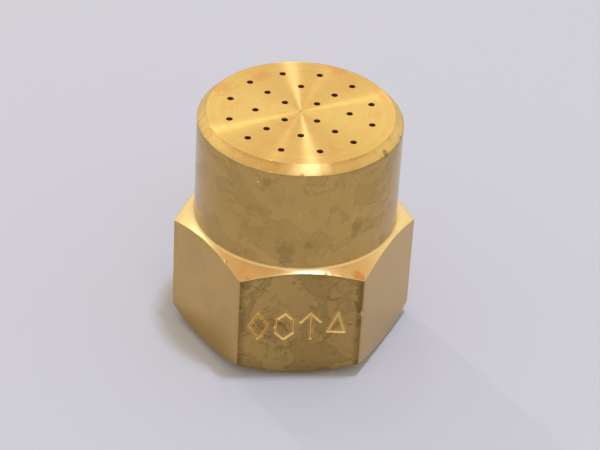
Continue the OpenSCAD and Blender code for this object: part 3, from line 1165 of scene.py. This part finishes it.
def poppet_pieces(brass, rubber, stainless):
    """The poppet's head, its seal and the washer that holds the seal."""
    head_r, head_low, head_top = high("poppet_head").x, low("poppet_head").z, high("poppet_head").z
    seal_r, seal_top = high("poppet_seal").x, high("poppet_seal").z
    retainer_r, retainer_low = high("seal_retainer").x, low("seal_retainer").z
    boss_r = SPRING_R - BOSS_GAP
    corners = [
        (STEM_R, seal_top, 0.03),
        (seal_r, seal_top, 0.03),
        (seal_r, head_low, 0.05),
        (head_r, head_low, 0.08),
        (head_r, SPRING_FLOOR, 0.25),
        (boss_r, SPRING_FLOOR, 0.12),
        (boss_r, head_top, 0.2),
        (STEM_R, head_top, 0.08),
    ]
    turned_piece("poppet_disc", corners, brass, "poppet", "poppet_head")
    ring(
        "seat_seal", STEM_R, seal_r, SEAT_Z, seal_top, 0.08,
        rubber, "poppet", "poppet_seal",
    )
    ring(
        "seal_washer", STEM_R, retainer_r, retainer_low, SEAT_Z, 0.12,
        stainless, "poppet", "seal_retainer",
    )


def ring(name, inner_r, outer_r, z_low, z_high, radius, material, body, node):
    """A flat ring with rounded edges."""
    corners = [
        (inner_r, z_low, radius),
        (outer_r, z_low, radius),
        (outer_r, z_high, radius),
        (inner_r, z_high, radius),
    ]
    turned_piece(name, corners, material, body, node)


def spring_piece(material):
    """The CAD's working turns, with a closed turn at each end that is ground flat."""
    wire_r = SPRING_WIRE_R
    mean_r = SPRING_R - wire_r
    turns = WORKING_TURNS + 2
    steps = int(turns * SPRING_STEPS)
    low_z, high_z = SPRING_FLOOR + wire_r * 0.6, SPRING_TOP - wire_r * 0.6
    closed_rise = 2 * wire_r
    open_rise = (high_z - low_z - 2 * closed_rise) / WORKING_TURNS
    path = []
    for i in range(steps + 1):
        turn = turns * i / steps
        into = min(turn, 1.0)
        out = max(turn - (turns - 1.0), 0.0)
        rise = into * closed_rise + (turn - into - out) * open_rise + out * closed_rise
        angle = 2 * math.pi * turn
        path.append((mean_r * math.cos(angle), mean_r * math.sin(angle), low_z + rise))
    verts, faces = swept(path, wire_r, SPRING_SIDES)
    ground = [(x, y, min(max(z, SPRING_FLOOR), SPRING_TOP)) for x, y, z in verts]
    piece = mesh_object("closing_spring", (ground, faces))
    finish_piece(piece, material, "head", "valve_spring")
    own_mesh(piece)


# ---- Strainer and washer ----

def gauze_piece(material):
    """Plain-woven wires, let into a rolled edge up to its middle."""
    middle = (GAUZE_LOW + GAUZE_HIGH) / 2
    edge_in = GAUZE_R - GAUZE_EDGE
    reach = edge_in + GAUZE_EDGE / 2
    count = int(reach / GAUZE_PITCH)
    shapes = []
    for crossing in (0, 1):
        for i in range(-count, count + 1):
            side = i * GAUZE_PITCH
            half = math.sqrt(reach * reach - side * side)
            steps = max(int(half * 2 / GAUZE_PITCH * CROSSING_STEPS), 2)
            path = []
            for step in range(steps + 1):
                along = -half + 2 * half * step / steps
                sign = (-1) ** i * (1 if crossing else -1)
                z = middle + sign * GAUZE_WIRE_R * math.cos(math.pi * along / GAUZE_PITCH)
                path.append((along, side, z) if crossing else (side, along, z))
            shapes.append(swept(path, GAUZE_WIRE_R * 0.97, 8))
    corners = [
        (edge_in, GAUZE_LOW, 0.15),
        (GAUZE_R, GAUZE_LOW, 0.15),
        (GAUZE_R, GAUZE_HIGH, 0.15),
        (edge_in, GAUZE_HIGH, 0.15),
    ]
    outline, _ = trace(corners, closed=True)
    shapes.append(revolved(outline, 96))
    piece = mesh_object("woven_gauze", joined(shapes))
    finish_piece(piece, material, "head", "strainer_gauze")


def strainer_pieces(brass, stainless, fibre):
    gauze_piece(stainless)
    eased_copy("backing_plate", "support_plate", 0.06, stainless, "head")
    rim_in = GAUZE_R - 0.65
    seat_r = GAUZE_R + 0.05
    rim = [
        (rim_in, RIM_Z, 0.15),
        (RIM_R, RIM_Z, 0.15),
        (RIM_R, LEDGE, 0.08),
        (seat_r, LEDGE, 0.08),
        (seat_r, GAUZE_LOW, 0.05),
        (rim_in, GAUZE_LOW, 0.08),
    ]
    turned_piece("gauze_holder", rim, brass, "head", "strainer_rim", FINE_COLUMNS)
    washer_r, washer_low = high("inlet_washer").x, low("inlet_washer").z
    ring(
        "fibre_washer", WASHER_BORE_R, washer_r, washer_low, RIM_Z, 0.18,
        fibre, "head", "inlet_washer",
    )


# ---- Stage ----

def floor_piece():
    """A plain pale floor, two metres out from the object on every side."""
    mesh = bpy.data.meshes.new("floor")
    half = 2.0
    corners = [(-half, -half, 0), (half, -half, 0), (half, half, 0), (-half, half, 0)]
    mesh.from_pydata(corners, [], [[0, 1, 2, 3]])
    floor = new_object("floor", mesh)
    s = Shader("pale_floor")
    s.surface.inputs["Specular IOR Level"].default_value = 0.2
    mesh.materials.append(s.finish((0.54, 0.56, 0.58), 0.7, 0.0))


def area_light(name, azimuth, elevation, distance, size, power, colour):
    """A soft light that looks at the object's middle. Azimuth is counted from +X towards +Y."""
    light = bpy.data.lights.new(name, "AREA")
    light.shape = "RECTANGLE"
    light.size, light.size_y = size
    light.energy = power
    light.color = colour
    lamp = new_object(name, light)
    a, e = math.radians(azimuth), math.radians(elevation)
    way = Vector((math.cos(a) * math.cos(e), math.sin(a) * math.cos(e), math.sin(e)))
    target = Vector((0, 0, TOP / 2 * MM))
    lamp.location = target + way * distance
    lamp.rotation_euler = way.to_track_quat("Z", "Y").to_euler()


def studio():
    """A warm room, palest low down. One lamp is overhead, one in front and two small ones behind."""
    world = bpy.data.worlds.new("studio")
    world.use_nodes = True
    sky = NodeTree(world.node_tree)
    coordinates = sky.node("ShaderNodeTexCoord")
    split = sky.node("ShaderNodeSeparateXYZ", Vector=coordinates.outputs["Generated"])
    upwards = sky.smooth(split.outputs["Z"], 0.55, 0.85)
    background = sky.tree.nodes["Background"]
    sky.feed(background.inputs["Color"], sky.mixed(upwards, PALE_WALL, WARM_CEILING))
    background.inputs["Strength"].default_value = 0.98
    bpy.context.scene.world = world
    area_light("overhead", 0, 83, 0.6, (0.045, 0.045), 1.3, (0.84, 0.97, 1.4))
    area_light("front_high", -84, 54, 0.5, (0.20, 0.10), 0.12, (0.78, 0.97, 1.6))
    area_light("back_left", 120, 41, 0.5, (0.01, 0.02), 0.20, (1.0, 0.98, 0.9))
    area_light("back_high", 106, 68.5, 0.5, (0.01, 0.02), 0.05, (1.0, 0.98, 0.9))
    bpy.context.scene.view_settings.view_transform = "Standard"


def camera():
    """The camera looks at the middle of the head, then pans, tilts and rolls a little."""
    azimuth, elevation = math.radians(CAMERA_AZIMUTH), math.radians(CAMERA_ELEVATION)
    back = Vector((
        math.sin(azimuth) * math.cos(elevation),
        -math.cos(azimuth) * math.cos(elevation),
        math.sin(elevation),
    ))
    right = Vector((math.cos(azimuth), math.sin(azimuth), 0))
    up = back.cross(right)
    axes = Matrix((right, up, back))
    pan = Matrix.Rotation(math.radians(CAMERA_PAN), 3, "Y")
    tilt = Matrix.Rotation(math.radians(CAMERA_TILT), 3, "X")
    roll = Matrix.Rotation(math.radians(CAMERA_ROLL), 3, "Z")
    data = bpy.data.cameras.new("camera")
    data.lens = CAMERA_LENS
    data.clip_start = 0.01
    data.clip_end = 10.0
    eye = new_object("camera", data)
    middle = Vector((0, 0, TOP / 2))
    place = Matrix.Translation((middle + back * CAMERA_DISTANCE) * MM)
    eye.matrix_world = place @ (roll @ tilt @ pan @ axes).transposed().to_4x4()
    bpy.context.scene.camera = eye


inner = inner_brass()
stainless = steel("stainless", (0.62, 0.61, 0.60), (0.42, 0.41, 0.40), 0.24, 0.004)
spring_steel = steel("spring_steel", (0.46, 0.46, 0.48), (0.25, 0.24, 0.24), 0.28, 0.006)
rubber = black_rubber()

camera()
studio()
floor_piece()
body_piece(body_brass())
disc_piece(face_brass())
valve_pieces(inner, rubber, stainless, spring_steel, annealed_copper())
strainer_pieces(inner, stainless, red_fibre())
